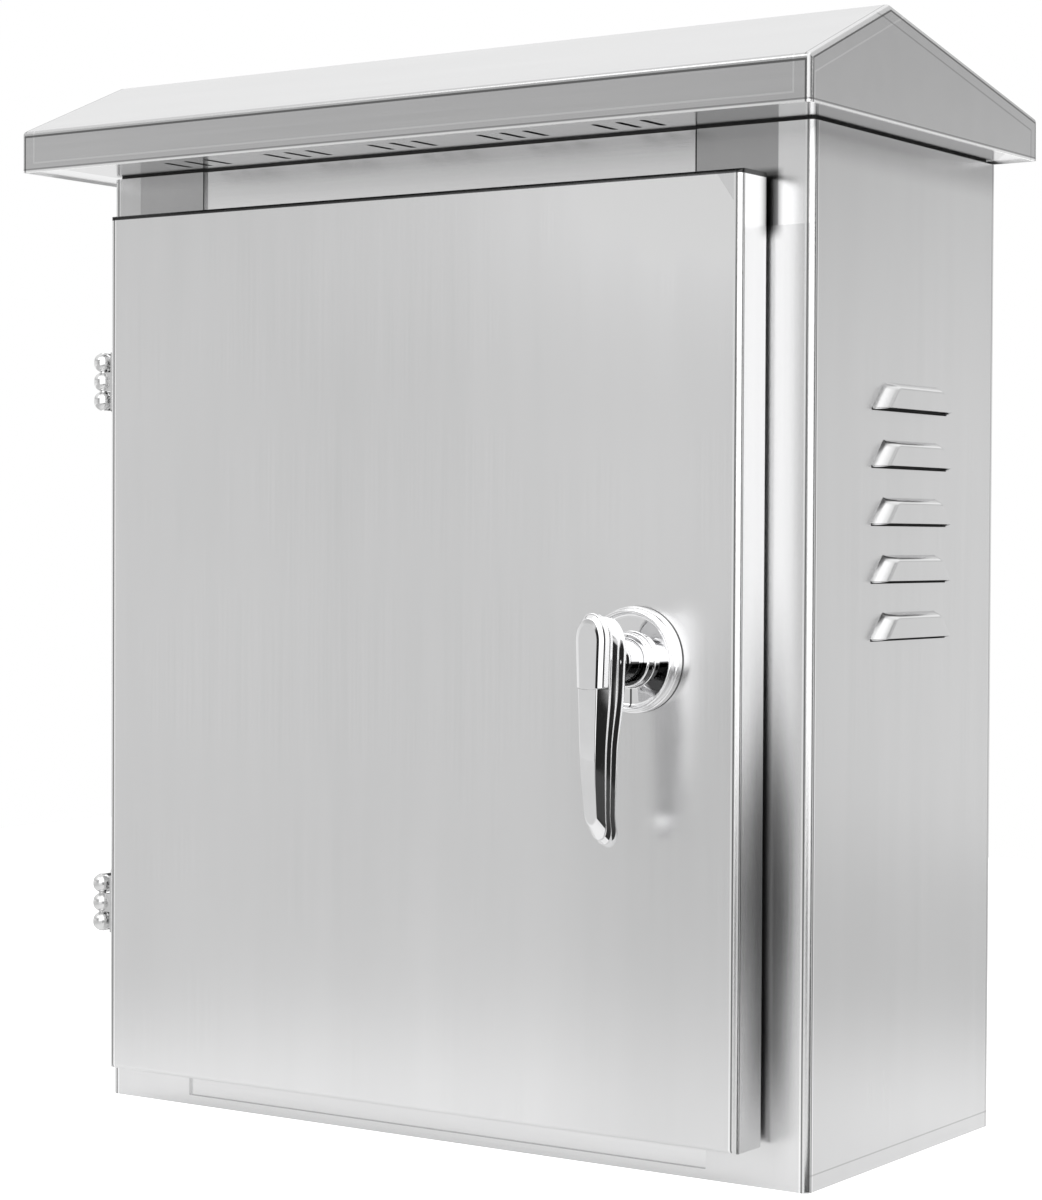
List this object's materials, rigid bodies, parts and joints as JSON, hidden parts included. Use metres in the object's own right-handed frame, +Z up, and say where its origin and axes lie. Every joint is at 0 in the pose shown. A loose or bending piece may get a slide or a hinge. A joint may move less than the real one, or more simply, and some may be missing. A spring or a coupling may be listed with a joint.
{
  "type": "switchboard cabinet",
  "caption": "Stainless wall cabinet for switchgear with a gabled rain hood, side louvres, a hinged overlay door and an L-handle with a key cover.",
  "frame": {"origin": "on the underside of the box, in the middle of its width and depth", "axes": "+Z up, +X to the right seen from the front, +Y to the back; the door faces -Y"},
  "size_m": [0.479, 0.2675, 0.5551],
  "materials": {
    "stainless_sheet": "satin stainless sheet",
    "chrome": "bright chrome on die-cast zinc",
    "hinge_steel": "cast stainless, tumbled",
    "galvanised_plate": "galvanised steel with a light spangle",
    "zinc_fixings": "bright zinc plate",
    "rubber": "black rubber",
    "gasket_foam": "cellular rubber"
  },
  "bodies": {
    "cabinet": {"left_side_panel": "stainless_sheet", "right_side_panel": "stainless_sheet", "back_panel": "stainless_sheet", "top_panel": "stainless_sheet", "bottom_panel": "stainless_sheet", "gutter_frame": "stainless_sheet", "roof_hood": "stainless_sheet", "roof_gable_left": "stainless_sheet", "roof_gable_right": "stainless_sheet", "soffit_plate": "stainless_sheet", "roof_seal": "rubber", "roof_studs": "zinc_fixings", "roof_washers": "zinc_fixings", "roof_nuts": "zinc_fixings", "mounting_plate": "galvanised_plate", "plate_studs": "zinc_fixings", "plate_spacers": "zinc_fixings", "plate_washers": "zinc_fixings", "plate_nuts": "zinc_fixings", "gland_plate": "stainless_sheet", "gland_gasket": "gasket_foam", "gland_screws": "zinc_fixings", "cable_grommets": "rubber", "louvre_screen_left": "stainless_sheet", "louvre_screen_right": "stainless_sheet", "hinge_body_leaf_upper": "hinge_steel", "hinge_body_leaf_lower": "hinge_steel", "hinge_pin_upper": "hinge_steel", "hinge_pin_lower": "hinge_steel", "hinge_body_screws": "zinc_fixings", "earth_stud": "zinc_fixings", "earth_washer": "zinc_fixings", "earth_nut": "zinc_fixings"},
    "door": {"door_skin": "stainless_sheet", "door_stiffener_left": "stainless_sheet", "door_stiffener_right": "stainless_sheet", "door_gasket": "gasket_foam", "hinge_door_leaf_upper": "hinge_steel", "hinge_door_leaf_lower": "hinge_steel", "hinge_door_screws": "zinc_fixings", "door_earth_stud": "zinc_fixings", "handle_housing": "chrome", "housing_gasket": "rubber", "housing_nut": "zinc_fixings"},
    "handle": {"handle_lever": "chrome", "handle_spindle": "zinc_fixings", "latch_cam": "zinc_fixings", "cam_washer": "zinc_fixings", "cam_screw": "zinc_fixings", "key_cover_pin": "chrome"},
    "key_cover": {"key_cover": "chrome"},
    "lock_cylinder": {"lock_cylinder": "chrome"}
  },
  "joints": [
    {"name": "door_hinge", "type": "hinge", "parent": "cabinet", "child": "door", "pos_m": [-0.2055, -0.1175, 0.24825], "axis": [0, 0, -1], "range_deg": [0, 160]},
    {"name": "handle_turn", "type": "hinge", "parent": "door", "child": "handle", "pos_m": [0.1384, -0.1255, 0.2484], "axis": [0, 1, 0], "range_deg": [0, 90]},
    {"name": "key_cover_flip", "type": "hinge", "parent": "handle", "child": "key_cover", "pos_m": [0.1384, -0.1655, 0.2624], "axis": [0, 1, 0], "range_deg": [0, 100]},
    {"name": "lock_turn", "type": "hinge", "parent": "handle", "child": "lock_cylinder", "pos_m": [0.1384, -0.1555, 0.2484], "axis": [0, 1, 0], "range_deg": [0, 90]}
  ]
}
